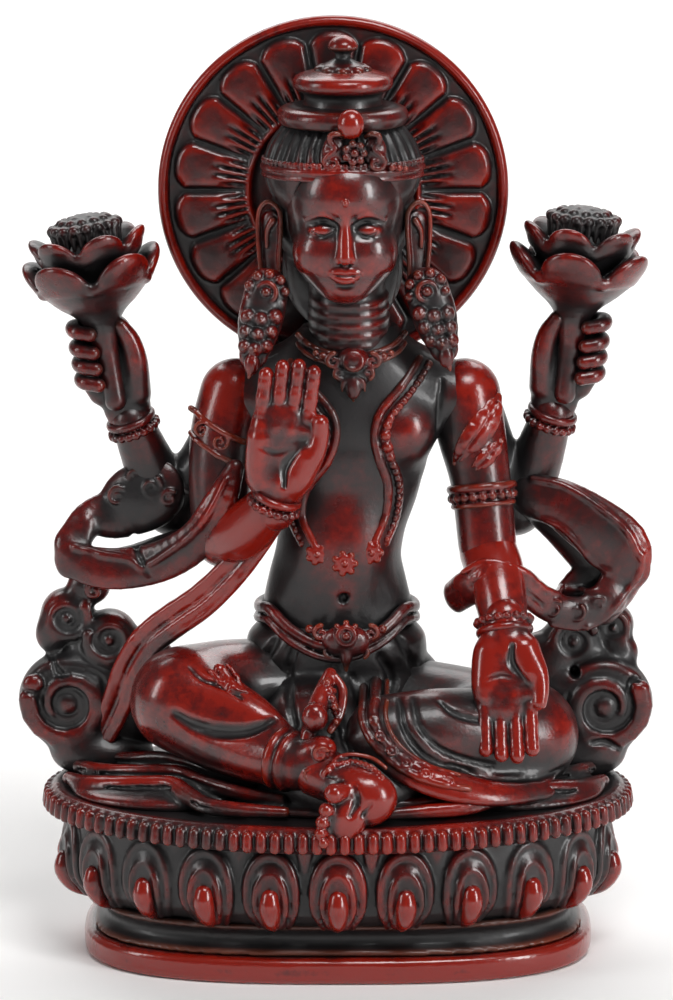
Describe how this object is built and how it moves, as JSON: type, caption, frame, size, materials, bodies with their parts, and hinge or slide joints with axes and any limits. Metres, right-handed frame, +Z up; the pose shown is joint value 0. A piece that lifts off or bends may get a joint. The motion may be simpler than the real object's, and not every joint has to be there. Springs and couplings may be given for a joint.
{
  "type": "seated deity statuette",
  "caption": "Four-armed seated deity in cast resin, right hand raised and left hand lowered, rear hands holding lotus flowers, petalled halo behind, oval lotus base",
  "frame": {"origin": "middle of the base's underside", "axes": "+Z up, the figure faces -Y, its right side is at -X"},
  "size_m": [0.1345, 0.0866, 0.196],
  "materials": {
    "polished_resin": "rubbed back to oxblood red and waxed",
    "carved_resin": "dark wash with rubbed red highlights, waxed",
    "recess_resin": "near-black wash, waxed"
  },
  "bodies": {
    "root": {"foot_plate": "polished_resin", "base_waist": "recess_resin", "lotus_cup": "recess_resin", "lotus_petals": "carved_resin", "petal_bosses": "polished_resin", "bead_rim": "carved_resin", "seat_disc": "recess_resin", "seat_cloth": "carved_resin", "hips": "carved_resin", "right_leg": "polished_resin", "left_leg": "carved_resin", "right_foot": "polished_resin", "ankle_band": "carved_resin", "thigh_band": "carved_resin", "shin_hem": "carved_resin", "torso": "carved_resin", "neck": "carved_resin", "head": "polished_resin", "hair": "recess_resin", "ears": "carved_resin", "earrings": "carved_resin", "crown_band": "carved_resin", "crown_tiara": "carved_resin", "crown_jewel": "polished_resin", "crown_ring": "polished_resin", "crown_disc": "polished_resin", "crown_finial": "polished_resin", "halo_disc": "recess_resin", "halo_petals": "carved_resin", "halo_dowel": "recess_resin", "front_right_upper_arm": "carved_resin", "front_right_forearm": "polished_resin", "front_right_hand": "polished_resin", "front_left_upper_arm": "polished_resin", "front_left_forearm": "polished_resin", "front_left_hand": "polished_resin", "rear_right_arm": "carved_resin", "rear_right_hand": "carved_resin", "rear_left_arm": "carved_resin", "rear_left_hand": "carved_resin", "right_lotus": "polished_resin", "right_lotus_pod": "recess_resin", "left_lotus": "polished_resin", "left_lotus_pod": "recess_resin", "bracelets": "carved_resin", "armlets": "carved_resin", "right_scarf": "carved_resin", "left_scarf": "carved_resin", "scarf_tail": "polished_resin", "right_scroll": "carved_resin", "left_scroll": "carved_resin", "necklace": "carved_resin", "garland": "carved_resin", "waist_sash": "carved_resin", "belt_ornament": "carved_resin", "lap_tassel": "polished_resin"}
  },
  "joints": []
}
